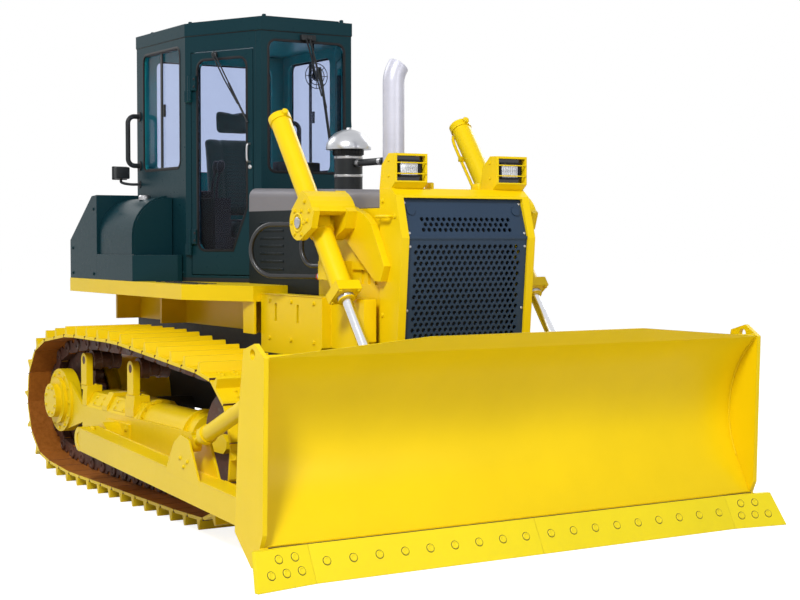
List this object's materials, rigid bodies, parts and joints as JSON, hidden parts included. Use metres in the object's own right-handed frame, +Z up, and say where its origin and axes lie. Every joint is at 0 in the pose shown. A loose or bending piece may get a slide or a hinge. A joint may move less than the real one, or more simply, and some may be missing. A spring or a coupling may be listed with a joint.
{
  "type": "bulldozer",
  "caption": "Yellow bulldozer with a straight tilting blade on outside push arms, an enclosed dark cab and two steel track loops.",
  "frame": {"origin": "middle of the bounding box at the ground under the grouser tips", "axes": "+X forward to the blade, +Y left, +Z up"},
  "size_m": [4.4794, 3.193, 2.911],
  "materials": {
    "yellow_paint": "satin",
    "track_steel": "worn paint",
    "edge_steel": "worn",
    "teal_paint": "satin",
    "dark_paint": "matt",
    "grille_paint": "satin",
    "chrome_rod": "polished",
    "bare_metal": "dull",
    "window_glass": "tinted",
    "seat_cloth": "woven"
  },
  "bodies": {
    "tractor": {"main_frame": "dark_paint", "engine_block": "dark_paint", "belly_shafts": "track_steel", "drawbar": "yellow_paint", "deck": "yellow_paint", "fuel_tank": "teal_paint", "side_tanks": "teal_paint", "side_boxes": "yellow_paint", "radiator_guard": "yellow_paint", "grille": "grille_paint", "radiator": "dark_paint", "headlamps": "yellow_paint", "lamp_lenses": "window_glass", "hood": "dark_paint", "engine_panels": "yellow_paint", "exhaust_stack": "bare_metal", "air_cleaner": "bare_metal", "cab_floor": "dark_paint", "cab_front": "teal_paint", "cab_side_right": "teal_paint", "cab_side_left": "teal_paint", "cab_rear": "teal_paint", "cab_roof": "teal_paint", "windscreen": "window_glass", "side_glass": "window_glass", "rear_glass": "window_glass", "seat_base": "dark_paint", "seat_cushions": "seat_cloth", "dashboard": "dark_paint", "handrails": "dark_paint", "lift_brackets": "yellow_paint", "track_frame_right": "yellow_paint", "track_frame_left": "yellow_paint", "track_right": "track_steel", "track_left": "track_steel", "sprockets": "track_steel", "final_drives": "yellow_paint", "idlers": "track_steel", "track_rollers": "track_steel", "carrier_rollers": "track_steel", "carrier_brackets": "yellow_paint", "hoses": "dark_paint"},
    "arm_caps": {"arm_caps": "yellow_paint"},
    "blade": {"mouldboard": "yellow_paint", "end_plates": "yellow_paint", "cutting_edges": "edge_steel", "end_bits": "edge_steel", "blade_brace": "yellow_paint"},
    "push_arm_right": {"push_arm_right": "yellow_paint"},
    "push_arm_left": {"push_arm_left": "yellow_paint"},
    "tilt_tube": {"tilt_tube": "yellow_paint"},
    "tilt_rod": {"tilt_rod": "chrome_rod"},
    "lift_tube_right": {"lift_tube_right": "yellow_paint"},
    "lift_tube_left": {"lift_tube_left": "yellow_paint"},
    "lift_rod_right": {"lift_rod_right": "chrome_rod"},
    "lift_rod_left": {"lift_rod_left": "chrome_rod"},
    "door_right": {"door_right": "teal_paint", "door_glass_right": "window_glass"},
    "door_left": {"door_left": "teal_paint", "door_glass_left": "window_glass"}
  },
  "joints": [
    {"name": "blade_lift", "type": "hinge", "parent": "tractor", "child": "arm_caps", "pos_m": [-0.62, 0, 0.352], "axis": [0, -1, 0], "range_deg": [-7.5, 18]},
    {"name": "blade_tilt", "type": "hinge", "parent": "arm_caps", "child": "blade", "pos_m": [1.78, 0, 0.216], "axis": [0.9984, 0, -0.0566], "range_deg": [-4.5, 4.5]},
    {"name": "arm_right", "type": "hinge", "parent": "arm_caps", "child": "push_arm_right", "pos_m": [-0.62, -1.282, 0.352], "axis": [0, -1, 0], "range_deg": [-2.6, 2.6]},
    {"name": "arm_left", "type": "hinge", "parent": "arm_caps", "child": "push_arm_left", "pos_m": [-0.62, 1.282, 0.352], "axis": [0, -1, 0], "range_deg": [-2.6, 2.6]},
    {"name": "tilt_tube_swing", "type": "hinge", "parent": "blade", "child": "tilt_tube", "pos_m": [1.8, 1.282, 0.86], "axis": [0, -1, 0], "range_deg": [-2.2, 2.2]},
    {"name": "tilt_rod_slide", "type": "slide", "parent": "tilt_tube", "child": "tilt_rod", "axis": [-0.9249, 0, -0.3802], "range_m": [-0.03, 0.03]},
    {"name": "lift_tube_right_swing", "type": "hinge", "parent": "tractor", "child": "lift_tube_right", "pos_m": [0.985, -0.6, 1.63], "axis": [0, -1, 0], "range_deg": [-10, 24]},
    {"name": "lift_rod_right_slide", "type": "slide", "parent": "lift_tube_right", "child": "lift_rod_right", "axis": [0.6044, 0, -0.7967], "range_m": [-0.68, 0.29]},
    {"name": "lift_tube_left_swing", "type": "hinge", "parent": "tractor", "child": "lift_tube_left", "pos_m": [0.985, 0.6, 1.63], "axis": [0, -1, 0], "range_deg": [-10, 24]},
    {"name": "lift_rod_left_slide", "type": "slide", "parent": "lift_tube_left", "child": "lift_rod_left", "axis": [0.6044, 0, -0.7967], "range_m": [-0.68, 0.29]},
    {"name": "door_right_swing", "type": "hinge", "parent": "tractor", "child": "door_right", "pos_m": [-0.75397, -0.55652, 1.975], "axis": [0, 0, -1], "range_deg": [0, 95]},
    {"name": "door_left_swing", "type": "hinge", "parent": "tractor", "child": "door_left", "pos_m": [-0.75397, 0.55652, 1.975], "axis": [0, 0, 1], "range_deg": [0, 95]}
  ],
  "couplings": [
    {"joint": "arm_right", "follows": "blade_tilt", "ratio": -0.5333},
    {"joint": "arm_left", "follows": "blade_tilt", "ratio": 0.5333},
    {"joint": "tilt_tube_swing", "follows": "blade_tilt", "ratio": 0.4131},
    {"joint": "tilt_rod_slide", "follows": "blade_tilt", "m_per_rad": 0.2632},
    {"joint": "lift_tube_right_swing", "follows": "blade_lift", "ratio": 1.16},
    {"joint": "lift_rod_right_slide", "follows": "blade_lift", "m_per_rad": -2.034},
    {"joint": "lift_tube_left_swing", "follows": "blade_lift", "ratio": 1.16},
    {"joint": "lift_rod_left_slide", "follows": "blade_lift", "m_per_rad": -2.034}
  ]
}
